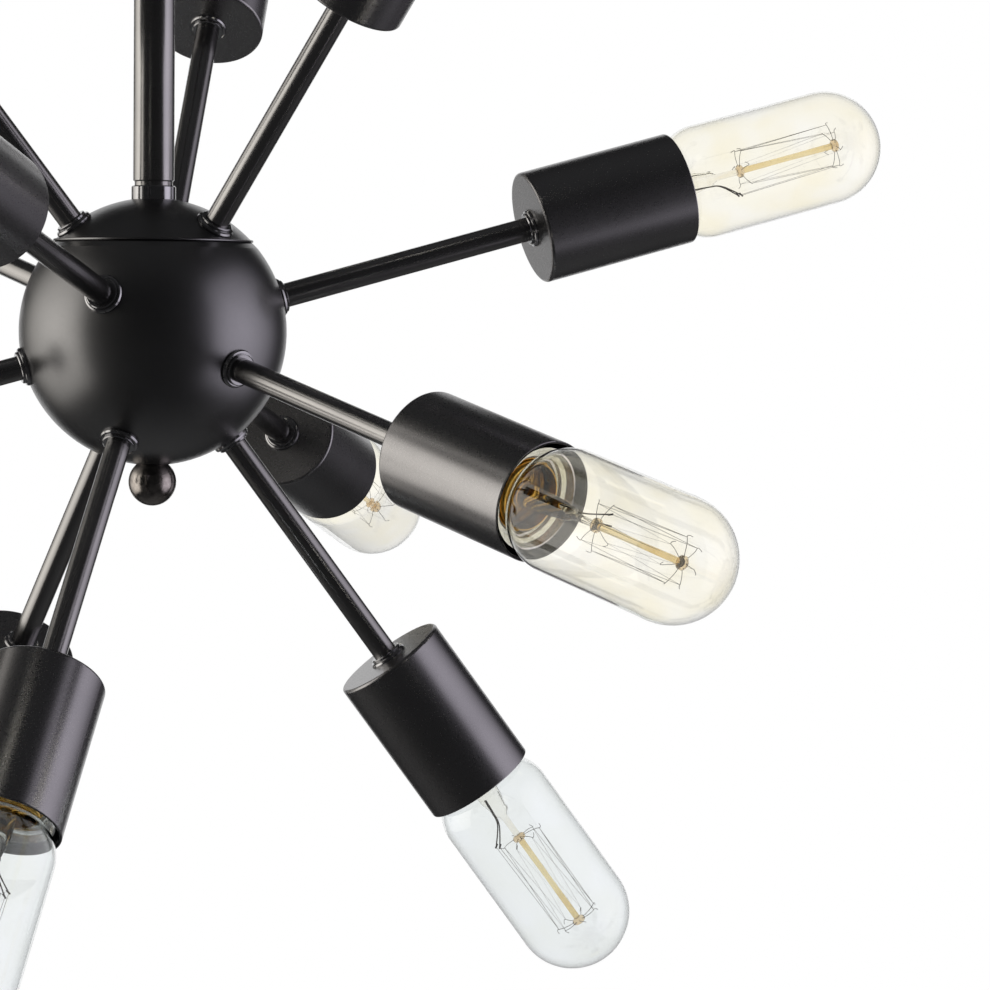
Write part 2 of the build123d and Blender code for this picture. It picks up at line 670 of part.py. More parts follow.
def arm_parts():
    """Cup and bulb of every arm, each under its own name."""
    one_cup = cup()
    cage, wires = filament_cage()
    for wire in wires:
        cage += wire
    glass = Compound(children=[bulb_envelope(), bulb_stem()])
    base = Compound(children=[bulb_cap(), bulb_insulator(), bulb_contact(), *cage.solids()])
    parts = {}
    for name, frame in ARMS.items():
        parts[f"cup_{name}"] = moved(one_cup, frame)
        parts[f"bulb_glass_{name}"] = moved(glass, frame)
        parts[f"bulb_base_{name}"] = moved(base, frame)
    return parts


os.makedirs("parts", exist_ok=True)
for node, shape in {**fixed_parts(), **stem_parts(), **arm_parts()}.items():
    export_step(shape, f"parts/{node}.step")
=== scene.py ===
# %% [markdown]
# # A sputnik chandelier, dressed in Blender
#
# The CAD model gives every solid piece of the lamp at its real size. This notebook adds what a
# CAD model lacks: the bulbs' thin glass with everything that is sealed in it, the screw threads,
# and the finish of each surface. It works in metres, in the frame of the CAD model. The origin is
# the middle of the ceiling plane, +Z points up, +X is right and +Y is back.

import bpy
import json
import math
from mathutils import Matrix, Vector


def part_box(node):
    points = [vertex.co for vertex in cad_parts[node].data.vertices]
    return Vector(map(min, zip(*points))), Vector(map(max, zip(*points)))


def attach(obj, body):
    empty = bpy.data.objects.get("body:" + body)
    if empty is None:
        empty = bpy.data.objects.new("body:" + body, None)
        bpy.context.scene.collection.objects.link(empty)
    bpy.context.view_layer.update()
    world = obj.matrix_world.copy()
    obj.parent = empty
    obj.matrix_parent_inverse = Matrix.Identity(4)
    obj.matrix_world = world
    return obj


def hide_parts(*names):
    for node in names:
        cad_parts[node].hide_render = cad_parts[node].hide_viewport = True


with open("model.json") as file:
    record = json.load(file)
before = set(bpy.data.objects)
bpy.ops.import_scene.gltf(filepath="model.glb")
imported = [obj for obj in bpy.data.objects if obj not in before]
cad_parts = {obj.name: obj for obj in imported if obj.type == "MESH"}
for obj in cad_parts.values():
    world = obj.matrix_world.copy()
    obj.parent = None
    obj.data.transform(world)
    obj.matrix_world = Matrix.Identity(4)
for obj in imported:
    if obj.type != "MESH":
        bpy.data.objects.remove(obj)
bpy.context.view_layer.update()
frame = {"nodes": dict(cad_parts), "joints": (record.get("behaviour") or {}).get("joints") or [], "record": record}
MM = 0.001

# %% [markdown]
# ## Where things are
#
# All twelve arms start from the centre of the ball. Their directions are the axes of the joints
# that let the bulbs out, so they are read from the frame and typed nowhere. Whatever sits on an
# arm is modelled once on the Z axis, at its distance from the ball's centre, and each copy is then
# turned onto its own arm.

# %% Ball centre and arms
BALL_SEAM = 35.0 * MM
ball_centre = Vector((0, 0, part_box("ball_body")[1].z - BALL_SEAM))


def arm_matrix(direction):
    """Turns the Z axis onto an arm, with X level, and moves the origin to the ball's centre."""
    out = Vector(direction).normalized()
    side = Vector((-out.y, out.x, 0)).normalized()
    rise = out.cross(side)
    turn = Matrix((side, rise, out)).transposed()
    return Matrix.Translation(ball_centre) @ turn.to_4x4()


arms = {}
for joint in frame["joints"]:
    if joint["child"].startswith("bulb_"):
        arms[joint["child"].removeprefix("bulb_")] = arm_matrix(joint["axis"])
print("ball centre:", tuple(round(v, 4) for v in ball_centre), "arms:", sorted(arms))

# %% [markdown]
# ## Camera
#
# The photograph was taken with a long lens from a little over one and a half metres, level with
# the ball, with the ball well left of the middle. A long lens keeps the near cups from looking
# swollen. The angles are those at which the drawn edges of cups, arms and ball fall on the
# photographed ones.

# %% Camera
CAMERA_DISTANCE = 1.6217
CAMERA_BELOW_BALL = 0.0027
CAMERA_PITCH = -2.123
CAMERA_ROLL = -0.437
CAMERA_YAW = -4.709
SENSOR_WIDTH = 36.0
FOCAL_LENGTH = 150.88

camera_data = bpy.data.cameras.new("camera")
camera_data.sensor_width = SENSOR_WIDTH
camera_data.lens = FOCAL_LENGTH
camera = bpy.data.objects.new("camera", camera_data)
camera.location = ball_centre + Vector((0, -CAMERA_DISTANCE, -CAMERA_BELOW_BALL))
camera.rotation_euler = (
    math.radians(90 + CAMERA_PITCH),
    math.radians(CAMERA_ROLL),
    math.radians(CAMERA_YAW),
)
bpy.context.scene.collection.objects.link(camera)
bpy.context.scene.camera = camera
bpy.context.scene.view_settings.view_transform = "Standard"
print("camera at", tuple(round(v, 3) for v in camera.location))

# %% [markdown]
# ## Colours and nodes
#
# Colours are written as the hex values that an eye or a colour picker reads. Blender computes with
# linear light, so one function converts them. A second small function adds a shader node, sets it
# up and links it, which keeps each material below short enough to read.

# %% Colour and node helpers
def colour(hex_value, alpha=1.0):
    """Linear colour from an sRGB hex string."""
    channels = [int(hex_value[i:i + 2], 16) / 255 for i in (1, 3, 5)]
    linear = [c / 12.92 if c <= 0.04045 else ((c + 0.055) / 1.055) ** 2.4 for c in channels]
    return (*linear, alpha)


def add_node(tree, kind, inputs=None, **settings):
    """Adds a node. An input is a number, a colour or another node's output socket."""
    new = tree.nodes.new(kind)
    for name, value in settings.items():
        setattr(new, name, value)
    for name, value in (inputs or {}).items():
        if isinstance(value, bpy.types.NodeSocket):
            tree.links.new(value, new.inputs[name])
        else:
            new.inputs[name].default_value = value
    return new


def new_material(name):
    """An empty material with its Principled shader, as (material, tree, shader)."""
    material = bpy.data.materials.new(name)
    material.use_nodes = True
    tree = material.node_tree
    return material, tree, tree.nodes["Principled BSDF"]


def set_ramp(ramp, *stops):
    """Gives a colour ramp its stops, each a (place, colour) pair."""
    elements = ramp.color_ramp.elements
    while len(elements) < len(stops):
        elements.new(0.5)
    for element, (place, value) in zip(elements, stops):
        element.position = place
        element.color = value
    return ramp.outputs["Color"]


print("#808080 in linear light:", round(colour("#808080")[0], 3))

# %% [markdown]
# ## Studio
#
# The object hangs in a white studio. Two large soft boxes stand left and right of it, and the side
# of the room behind the camera is dark. That is why every black tube shows two pale stripes with
# black between them. The room is white only to the camera and through glass, so it adds hardly any
# light of its own. The ceiling is a little brighter than the dark side of the room.

# %% Room
WHITE = colour("#ffffff")
ROOM_LIGHT = 0.028
CEILING_LIGHT = 0.07
CEILING_STARTS = 0.6


def seen_as_white(tree, surface, *ray_kinds):
    """Mixes a shader with plain white for the rays that only look, such as camera rays."""
    path = add_node(tree, "ShaderNodeLightPath")
    looked_at = path.outputs[ray_kinds[0]]
    for kind in ray_kinds[1:]:
        either = add_node(tree, "ShaderNodeMath", {0: looked_at, 1: path.outputs[kind]},
                          operation="MAXIMUM")
        looked_at = either.outputs[0]
    white = add_node(tree, "ShaderNodeEmission", {"Color": WHITE, "Strength": 1.0})
    return add_node(tree, "ShaderNodeMixShader", {0: looked_at, 1: surface, 2: white.outputs[0]})


world = bpy.data.worlds.new("studio")
bpy.context.scene.world = world
world.use_nodes = True
world_tree = world.node_tree
world_tree.nodes.clear()
direction = add_node(world_tree, "ShaderNodeTexCoord").outputs["Generated"]
height = add_node(world_tree, "ShaderNodeSeparateXYZ", {"Vector": direction}).outputs["Z"]
level = add_node(world_tree, "ShaderNodeMapRange", {
    "Value": height, "From Min": CEILING_STARTS, "From Max": 1.0,
    "To Min": ROOM_LIGHT, "To Max": CEILING_LIGHT}).outputs["Result"]
room = add_node(world_tree, "ShaderNodeBackground", {"Color": colour("#f2f2f6"), "Strength": level})
white_room = seen_as_white(world_tree, room.outputs[0], "Is Camera Ray", "Is Transmission Ray")
add_node(world_tree, "ShaderNodeOutputWorld", {"Surface": white_room.outputs[0]})
print("room light:", ROOM_LIGHT, "ceiling:", CEILING_LIGHT)

# %% [markdown]
# The floor lies 4.6 m below the ceiling, as in a tall studio, which leaves room for a camera that
# looks up. It keeps the lamp's faint shadow, and to the camera it is pale near the lamp and melts
# into the white room further out, so that no horizon crosses the picture. Mirrors see it as dark,
# apart from a dim patch behind the lamp. The backdrop stands behind the lamp for the mirrors and
# the glass only, and is hidden from the camera.

# %% Floor and backdrop
FLOOR_LEVEL = -4.6
FLOOR_SIZE = 40.0
FLOOR_BRIGHTNESS = 0.88
FLOOR_EDGE_BRIGHTNESS = 0.985
FLOOR_FADE_START = 2.0
FLOOR_FADE_END = 14.0
FLOOR_IN_MIRRORS = 0.09
BRIGHT_PATCH = (0, 2.0, 0)
PATCH_CORE = 0.8
PATCH_EDGE = 4.4
BACKDROP_PLACE = 5.0
BACKDROP_SIZE = 4.6
SEEN_AS_WHITE_BY = {
    "floor": ["Is Transmission Ray"],
    "backdrop": ["Is Glossy Ray", "Is Transmission Ray"],
}


def stage_plane(name, size, location, turn):
    """A plane of the studio, which is no part of the lamp."""
    bpy.ops.object.select_all(action="DESELECT")
    bpy.ops.mesh.primitive_plane_add(size=size, location=location, rotation=turn)
    plane = bpy.context.object
    plane.name = name
    return plane


floor = stage_plane("floor", FLOOR_SIZE, (0, 0, FLOOR_LEVEL), (0, 0, 0))
backdrop = stage_plane("backdrop", BACKDROP_SIZE, (0, BACKDROP_PLACE, 0), (math.radians(90), 0, 0))
backdrop.visible_camera = False


def floor_glow(tree):
    """What the floor shows to the camera and, more dimly, to mirrors."""
    path = add_node(tree, "ShaderNodeLightPath")
    place = add_node(tree, "ShaderNodeTexCoord").outputs["Object"]
    away = add_node(tree, "ShaderNodeVectorMath", {0: place}, operation="LENGTH").outputs["Value"]
    pale = add_node(tree, "ShaderNodeMapRange", {
        "Value": away, "From Min": FLOOR_FADE_START, "From Max": FLOOR_FADE_END,
        "To Min": FLOOR_BRIGHTNESS, "To Max": FLOOR_EDGE_BRIGHTNESS}).outputs["Result"]
    reach = add_node(tree, "ShaderNodeVectorMath", {0: place, 1: BRIGHT_PATCH}, operation="DISTANCE")
    patch = add_node(tree, "ShaderNodeMapRange", {
        "Value": reach.outputs["Value"], "From Min": PATCH_CORE, "From Max": PATCH_EDGE,
        "To Min": FLOOR_IN_MIRRORS, "To Max": 0.0}).outputs["Result"]
    mirrored = add_node(tree, "ShaderNodeMath", {0: path.outputs["Is Glossy Ray"], 1: patch},
                        operation="MULTIPLY").outputs[0]
    level = add_node(tree, "ShaderNodeMath", {0: path.outputs["Is Camera Ray"], 1: pale, 2: mirrored},
                     operation="MULTIPLY_ADD").outputs[0]
    return add_node(tree, "ShaderNodeEmission", {"Color": WHITE, "Strength": level}).outputs[0]


for plane in (floor, backdrop):
    material, tree, shader = new_material("studio " + plane.name)
    shader.inputs["Base Color"].default_value = colour("#f4f4f4")
    shader.inputs["Roughness"].default_value = 0.9
    surface = shader.outputs[0]
    if plane is floor:
        surface = add_node(tree, "ShaderNodeAddShader", {0: surface, 1: floor_glow(tree)}).outputs[0]
    mixed = seen_as_white(tree, surface, *SEEN_AS_WHITE_BY[plane.name])
    tree.links.new(mixed.outputs[0], tree.nodes["Material Output"].inputs["Surface"])
    plane.data.materials.append(material)
print("floor at", FLOOR_LEVEL, "backdrop at", BACKDROP_PLACE)

# %% [markdown]
# A stripe's place on a black tube tells where its light stands. The reflection leaves the tube at
# twice the angle at which its surface turns away, so stripes that start about a quarter of the way
# in from the edges come from boxes that start 50 to 60 degrees round from the camera. The left box
# is warmer and reaches further back, and the right one is cooler. A grid keeps their light within
# a cone, and both are hidden from the camera and through glass.

# %% Soft boxes
GRID_SPREAD = math.radians(105)


def soft_box(name, place, aim, width, height, watts, tint):
    """Area lamp at a place, facing a point. Places and sizes are in metres."""
    data = bpy.data.lights.new(name, "AREA")
    data.shape = "RECTANGLE"
    data.size = width
    data.size_y = height
    data.spread = GRID_SPREAD
    data.energy = watts
    data.color = colour(tint)[:3]
    lamp = bpy.data.objects.new(name, data)
    lamp.location = place
    lamp.rotation_euler = (Vector(aim) - Vector(place)).to_track_quat("-Z", "Y").to_euler()
    lamp.visible_camera = False
    lamp.visible_transmission = False
    bpy.context.scene.collection.objects.link(lamp)


mid_height = ball_centre.z
soft_box("left soft box", place=(-1.2, 0.6, mid_height), aim=(0, 0.6, mid_height),
         width=2.4, height=2.0, watts=10.4, tint="#fffaf2")
soft_box("right soft box", place=(1.27, 0.2, mid_height), aim=(0.1, 0.45, mid_height),
         width=2.1, height=2.0, watts=5.9, tint="#f8f2ff")
print("soft boxes stand at the height of the ball")

# %% [markdown]
# ## Finishes of the metal
#
# Ball, cups, arms, rod and canopy share one finish: steel with a satin gunmetal plating, which is a
# nickel alloy so dark that it looks black wherever the room is dark. It is a metal all the same, so
# it mirrors the soft boxes as pale grey bands. The steel was blasted with fine grit before plating,
# which blurs those bands and leaves a grain that the eye feels more than sees. Castings and spun
# pieces are blasted most, tubes less and turned pieces least. Slow clouds in the tone come from the
# plating bath.

# %% Satin gunmetal
BATH_CLOUD_MM = 30
GLOSS_SPREAD = 0.03


def satin_gunmetal(name, dark, pale, rough, grain_mm, depth_mm):
    """Dark nickel alloy on blasted steel; the grain's size and depth are in millimetres."""
    material, tree, shader = new_material(name)
    place = add_node(tree, "ShaderNodeTexCoord").outputs["Object"]
    cloud = add_node(tree, "ShaderNodeTexNoise", {
        "Vector": place, "Scale": 1 / (BATH_CLOUD_MM * MM), "Detail": 4})
    grain = add_node(tree, "ShaderNodeTexNoise", {
        "Vector": place, "Scale": 1 / (grain_mm * MM), "Detail": 3})
    tint = add_node(tree, "ShaderNodeValToRGB", {"Fac": cloud.outputs["Fac"]})
    tree.links.new(set_ramp(tint, (0.3, colour(dark)), (0.7, colour(pale))), shader.inputs["Base Color"])
    spread = add_node(tree, "ShaderNodeMapRange", {
        "Value": grain.outputs["Fac"], "From Min": 0.3, "From Max": 0.7,
        "To Min": rough - GLOSS_SPREAD, "To Max": rough + GLOSS_SPREAD})
    tree.links.new(spread.outputs["Result"], shader.inputs["Roughness"])
    bump = add_node(tree, "ShaderNodeBump", {
        "Height": grain.outputs["Fac"], "Strength": 0.5, "Distance": depth_mm * MM})
    tree.links.new(bump.outputs["Normal"], shader.inputs["Normal"])
    shader.inputs["Metallic"].default_value = 1.0
    return material


SPUN = {"dark": "#7b7b7c", "pale": "#828283", "rough": 0.33, "grain_mm": 0.8, "depth_mm": 0.004}
ball_finish = satin_gunmetal("satin gunmetal on the spun ball", **SPUN)
canopy_finish = satin_gunmetal("satin gunmetal on the canopy", **SPUN)
tube_finish = satin_gunmetal("satin gunmetal on tube", "#908f8f", "#9a9998",
                             rough=0.23, grain_mm=0.5, depth_mm=0.0012)
turned_finish = satin_gunmetal("satin gunmetal on turned pieces", "#9b9b9c", "#a5a5a7",
                               rough=0.17, grain_mm=0.4, depth_mm=0.001)
swivel_finish = satin_gunmetal("satin gunmetal on castings", "#757576", "#7e7e7f",
                               rough=0.36, grain_mm=0.7, depth_mm=0.006)
print("gunmetal finishes: ball, canopy, tube, turned pieces and castings")

# %% [markdown]
# Inside, the cups get a matt near-black surface instead of the plating: painted shade for the deep
# hollow, which also keeps the lampholder from showing beside the bulb. The painted shade is found
# by its place: nearer to the arm's axis than the cup's wall, and beyond the cup's back.

# %% Cups, plated outside with painted shade inside
CUP_INSIDE = 22.2
CUP_BACK_INSIDE = 159.7


def cup_finish(arm):
    """Plating with painted shade mixed in where the surface lies inside the cup of this arm."""
    material = satin_gunmetal(f"plated cup with painted shade {arm}", "#8c8b8c", "#949394",
                              rough=0.29, grain_mm=0.6, depth_mm=0.003)
    tree = material.node_tree
    shader = tree.nodes["Principled BSDF"]
    axis = arms[arm].to_3x3() @ Vector((0, 0, 1))
    place = add_node(tree, "ShaderNodeTexCoord").outputs["Object"]
    offset = add_node(tree, "ShaderNodeVectorMath", {0: place, 1: ball_centre}, operation="SUBTRACT")
    across = add_node(tree, "ShaderNodeVectorMath", {0: offset.outputs[0], 1: axis},
                      operation="CROSS_PRODUCT")
    radius = add_node(tree, "ShaderNodeVectorMath", {0: across.outputs[0]}, operation="LENGTH")
    along = add_node(tree, "ShaderNodeVectorMath", {0: offset.outputs[0], 1: axis},
                     operation="DOT_PRODUCT")
    # Mask of the painted shade: nearer the axis than the cup's wall and beyond the cup's back.
    within = add_node(tree, "ShaderNodeMath", {0: radius.outputs["Value"], 1: CUP_INSIDE * MM},
                      operation="LESS_THAN")
    beyond = add_node(tree, "ShaderNodeMath", {0: along.outputs["Value"], 1: CUP_BACK_INSIDE * MM},
                      operation="GREATER_THAN")
    inside = add_node(tree, "ShaderNodeMath", {0: within.outputs[0], 1: beyond.outputs[0]},
                      operation="MULTIPLY")
    # Painted shade: a matt near-black surface laid inside the cup, where the hollow lies in shade.
    painted_shade_inside = add_node(tree, "ShaderNodeBsdfPrincipled", {
        "Base Color": colour("#1b1b1c"), "Roughness": 0.6})
    both = add_node(tree, "ShaderNodeMixShader", {
        0: inside.outputs[0], 1: shader.outputs[0], 2: painted_shade_inside.outputs[0]})
    tree.links.new(both.outputs[0], tree.nodes["Material Output"].inputs["Surface"])
    return material


print("cups get painted shade within", CUP_INSIDE, "mm of the arm's axis")

# %% [markdown]
# The finial is a polished ball, plated with black nickel like a pearl. The plating is nearly a
# mirror, but its skin is finely pitted, and the pits scatter the reflections into a sparkle.

# %% Black nickel
PATCH_MM = 2.5
PIT_MM = 0.45
PIT_DEPTH_MM = 0.03


def black_nickel(name):
    """Near mirror with patches of slightly duller plating and a skin of fine pits."""
    material, tree, shader = new_material(name)
    place = add_node(tree, "ShaderNodeTexCoord").outputs["Object"]
    patches = add_node(tree, "ShaderNodeTexNoise", {
        "Vector": place, "Scale": 1 / (PATCH_MM * MM), "Detail": 5})
    pits = add_node(tree, "ShaderNodeTexVoronoi", {"Vector": place, "Scale": 1 / (PIT_MM * MM)})
    tint = add_node(tree, "ShaderNodeValToRGB", {"Fac": patches.outputs["Fac"]})
    tree.links.new(set_ramp(tint, (0.35, colour("#7f7a76")), (0.65, colour("#a6a09b"))),
                   shader.inputs["Base Color"])
    spread = add_node(tree, "ShaderNodeMapRange", {
        "Value": patches.outputs["Fac"], "From Min": 0.3, "From Max": 0.7,
        "To Min": 0.12, "To Max": 0.26})
    tree.links.new(spread.outputs["Result"], shader.inputs["Roughness"])
    bump = add_node(tree, "ShaderNodeBump", {
        "Height": pits.outputs["Distance"], "Strength": 0.5, "Distance": PIT_DEPTH_MM * MM})
    tree.links.new(bump.outputs["Normal"], shader.inputs["Normal"])
    shader.inputs["Metallic"].default_value = 1.0
    return material


nickel_finish = black_nickel("black nickel on the finial")
print("black nickel, pits", PIT_MM, "mm apart")

# %% [markdown]
# The hidden fixings are zinc plated steel: pale, slightly bluish and clouded by the passivation.
# Contacts and shells are brass, and the ring at a lampholder's mouth is spun aluminium. All three
# are bare to the air, so their tone and their gloss drift together in slow clouds.

# %% Hidden fixings and bright metal
CLOUD_GLOSS = 0.12
SKIN_DEPTH_MM = 0.01


def clouded_metal(name, dark, pale, rough, cloud_mm):
    """Bare or plated metal with slow clouds in tone and gloss."""
    material, tree, shader = new_material(name)
    place = add_node(tree, "ShaderNodeTexCoord").outputs["Object"]
    cloud = add_node(tree, "ShaderNodeTexNoise", {
        "Vector": place, "Scale": 1 / (cloud_mm * MM), "Detail": 5})
    tint = add_node(tree, "ShaderNodeValToRGB", {"Fac": cloud.outputs["Fac"]})
    tree.links.new(set_ramp(tint, (0.3, colour(dark)), (0.7, colour(pale))), shader.inputs["Base Color"])
    spread = add_node(tree, "ShaderNodeMapRange", {
        "Value": cloud.outputs["Fac"], "From Min": 0.3, "From Max": 0.7,
        "To Min": rough, "To Max": rough + CLOUD_GLOSS})
    tree.links.new(spread.outputs["Result"], shader.inputs["Roughness"])
    bump = add_node(tree, "ShaderNodeBump", {
        "Height": cloud.outputs["Fac"], "Strength": 0.3, "Distance": SKIN_DEPTH_MM * MM})
    tree.links.new(bump.outputs["Normal"], shader.inputs["Normal"])
    shader.inputs["Metallic"].default_value = 1.0
    return material


zinc_finish = clouded_metal("zinc plated steel", "#9fa3a8", "#c3c7ca", rough=0.28, cloud_mm=6)
brass_finish = clouded_metal("bright brass", "#c99a45", "#e2bd6d", rough=0.16, cloud_mm=3)
ring_finish = clouded_metal("spun aluminium", "#c9cac8", "#e4e4e0", rough=0.14, cloud_mm=2)
print("zinc, brass and aluminium ready")

# %% [markdown]
# The lampholders are glazed steatite, a cream ceramic that stands the heat of a lamp. A clear coat
# over a duller body gives the depth of a glaze, and the kiln leaves faint specks below it.

# %% Ceramic
KILN_SPECK_MM = 1.5


def steatite(name):
    """Cream ceramic under a clear glaze, with faint kiln specks."""
    material, tree, shader = new_material(name)
    place = add_node(tree, "ShaderNodeTexCoord").outputs["Object"]
    specks = add_node(tree, "ShaderNodeTexNoise", {
        "Vector": place, "Scale": 1 / (KILN_SPECK_MM * MM), "Detail": 6})
    tint = add_node(tree, "ShaderNodeValToRGB", {"Fac": specks.outputs["Fac"]})
    tree.links.new(set_ramp(tint, (0.25, colour("#cfc6b4")), (0.45, colour("#e9e3d6"))),
                   shader.inputs["Base Color"])
    bump = add_node(tree, "ShaderNodeBump", {
        "Height": specks.outputs["Fac"], "Strength": 0.3, "Distance": SKIN_DEPTH_MM * MM})
    tree.links.new(bump.outputs["Normal"], shader.inputs["Normal"])
    shader.inputs["Roughness"].default_value = 0.35
    shader.inputs["Coat Weight"].default_value = 0.6
    shader.inputs["Coat Roughness"].default_value = 0.06
    return material


ceramic_finish = steatite("glazed steatite")
print("ceramic ready")

# %% [markdown]
# ## Finishes on the CAD pieces
#
# The CAD pieces that keep their shape get these finishes. The name of a piece's material slot
# tells what it is made of. The finial has a finish of its own, and so has each cup, because the
# painted shade inside it has to find that cup's axis.

# %% Dress the CAD nodes
FINISHES = {
    "black_canopy": canopy_finish,
    "matte_black": ball_finish,
    "black_tube": tube_finish,
    "black_metal": swivel_finish,
    "black_nickel": turned_finish,
    "zinc_steel": zinc_finish,
    "porcelain": ceramic_finish,
    "brass": brass_finish,
    "bright_ring": ring_finish,
}
slot_of = {part["node"]: part["material_slot"] for part in frame["record"]["subparts"]}
for name, node in frame["nodes"].items():
    finish = FINISHES.get(slot_of[name])
    if name == "finial":
        finish = nickel_finish
    if slot_of[name] == "black_cup":
        finish = cup_finish(name.removeprefix("cup_"))
    if finish:
        node.data.materials.clear()
        node.data.materials.append(finish)
print("dressed:", sum(len(node.data.materials) > 0 for node in frame["nodes"].values()), "nodes")

# %% [markdown]
# ## Modelling tools
#
# Nearly everything in a bulb is either turned about an axis or bent from wire. A turned piece
# starts as a tiny plane that is merged into one vertex. Extruding that vertex from point to point
# draws the half section, and the spin tool sweeps it round. A wire starts the same way, becomes a
# curve, takes a round bevel and is turned back into a mesh.

# %% Turned pieces
TURN_STEPS = 72
WELD_DISTANCE = 0.002 * MM


def select_only(*pieces):
    """Deselects everything else, since operators act on all that is selected."""
    bpy.ops.object.select_all(action="DESELECT")
    for piece in pieces:
        piece.select_set(True)
    bpy.context.view_layer.objects.active = pieces[0]


def draw_path(name, points):
    """A path of edges through points in millimetres, left in edit mode with all selected."""
    bpy.ops.object.select_all(action="DESELECT")
    start = Vector(points[0]) * MM
    bpy.ops.mesh.primitive_plane_add(size=MM, location=start)
    path = bpy.context.object
    path.name = name
    bpy.ops.object.transform_apply(location=True)
    bpy.ops.object.mode_set(mode="EDIT")
    bpy.ops.mesh.select_all(action="SELECT")
    bpy.ops.mesh.merge(type="CENTER")
    for here, there in zip(points, points[1:]):
        step = (Vector(there) - Vector(here)) * MM
        bpy.ops.mesh.extrude_region_move(TRANSFORM_OT_translate={"value": step})
    bpy.ops.mesh.select_all(action="SELECT")
    return path


def weld():
    """Merges points that fell together, turns the faces outwards and leaves edit mode."""
    bpy.ops.mesh.select_all(action="SELECT")
    bpy.ops.mesh.remove_doubles(threshold=WELD_DISTANCE)
    bpy.ops.mesh.normals_make_consistent(inside=False)
    bpy.ops.object.mode_set(mode="OBJECT")


def turned(name, profile, steps=TURN_STEPS, closed=False):
    """Spins a half section of (radius, height) points, in millimetres, about the Z axis."""
    points = [(radius, 0, height) for radius, height in profile]
    if closed:
        points.append(points[0])
    piece = draw_path(name, points)
    bpy.ops.mesh.spin(steps=steps, angle=math.tau, center=(0, 0, 0), axis=(0, 0, 1))
    weld()
    return piece


def finish_piece(piece, material, smooth_angle=35):
    """Smooth shading below an angle, and one material."""
    select_only(piece)
    bpy.ops.object.shade_smooth_by_angle(angle=math.radians(smooth_angle))
    piece.data.materials.clear()
    piece.data.materials.append(material)
    return piece


def apply_modifier(piece, kind, **settings):
    """Adds a modifier with its settings and makes its result the mesh."""
    select_only(piece)
    modifier = piece.modifiers.new(kind.lower(), kind)
    for key, value in settings.items():
        setattr(modifier, key, value)
    bpy.ops.object.modifier_apply(modifier=modifier.name)
    return piece


def arc(centre_radius, centre_height, size, start, end, steps):
    """Points of a half-section arc. Angles are in degrees from the outward direction."""
    points = []
    for step in range(steps + 1):
        angle = math.radians(start + (end - start) * step / steps)
        points.append((centre_radius + size * math.cos(angle), centre_height + size * math.sin(angle)))
    return points


print("a turned piece has", TURN_STEPS, "faces round it")

# %% Wires
def join(name, pieces):
    """Makes several pieces one object."""
    select_only(*pieces)
    bpy.ops.object.join()
    bpy.context.object.name = name
    return bpy.context.object


def wire(name, points, radius, rounded=False, sides=2):
    """Round wire through points in millimetres; rounded lets it bend as a smooth spring wire."""
    path = draw_path(name, points)
    bpy.ops.object.mode_set(mode="OBJECT")
    bpy.ops.object.convert(target="CURVE")
    if rounded:
        spline = path.data.splines[0]
        spline.type = "NURBS"
        spline.order_u = 3
        spline.use_endpoint_u = True
        spline.resolution_u = 4
    path.data.bevel_depth = radius * MM
    path.data.bevel_resolution = sides
    path.data.use_fill_caps = True
    bpy.ops.object.convert(target="MESH")
    bpy.context.object.name = name
    return bpy.context.object


print("tools ready: turned pieces and wires")

# %% [markdown]
# ## The glass of a bulb
#
# The bulb is a long tube of clear soda glass with a round end and a soft shoulder down to its
# neck. It is blown in a mould from a thin tube, so one wall thickness all over is right. The half
# section is made of two arcs for the shoulder, a straight side and a quarter circle, and Solidify
# gives the wall. All distances are from the centre of the ball, along the arm.

# %% Bulb glass
BULB_RADIUS = 23.0
BULB_TIP = 310.0
GLASS_WALL = 0.7
NECK_RADIUS = 12.2
NECK_START = 204.0
SHOULDER_START = 214.0
SHOULDER_END = 234.0
SHOULDER_HOLLOW = 6.5
SIDE_STEPS = 8


def bulb_glass():
    """Neck, shoulder with a hollow and a round part, straight side and round end."""
    rise = BULB_RADIUS - NECK_RADIUS
    run = SHOULDER_END - SHOULDER_START
    bend = 2 * math.atan(rise / run)
    round_part = run / math.sin(bend) - SHOULDER_HOLLOW
    degrees = math.degrees(bend)
    profile = [(NECK_RADIUS, NECK_START), (NECK_RADIUS, NECK_START + 5)]
    profile += arc(NECK_RADIUS + SHOULDER_HOLLOW, SHOULDER_START, SHOULDER_HOLLOW,
                   180, 180 - degrees, 8)
    profile += arc(BULB_RADIUS - round_part, SHOULDER_END, round_part, -degrees, 0, 14)[1:]
    crown = BULB_TIP - BULB_RADIUS
    for step in range(1, SIDE_STEPS):
        profile.append((BULB_RADIUS, SHOULDER_END + (crown - SHOULDER_END) * step / SIDE_STEPS))
    profile += arc(0, crown, BULB_RADIUS, 0, 90, 24)
    glass = turned("bulb_glass", profile, steps=96)
    return apply_modifier(glass, "SOLIDIFY", thickness=GLASS_WALL * MM, offset=-1)


glass_model = bulb_glass()
print("glass:", len(glass_model.data.polygons), "faces")

# %% [markdown]
# The glass carries a weak amber tint, and IOR 1.52 is that of soda glass. Where the eye looks along
# the wall, it sees the clear grey of the glass itself instead, which gives the bulb its outline.
# The three lowest bulbs get a paler glass, with hardly any tint.

# %% Clear glass
SOFT_EDGE = 60
EDGE_STARTS = 0.55
WAVE_MM = 18
WAVE_DEPTH_MM = 0.05
SODA_GLASS_IOR = 1.52
MIX_FIRST, MIX_SECOND, MIX_RESULT = 6, 7, 2  # the colour sockets of the Mix node


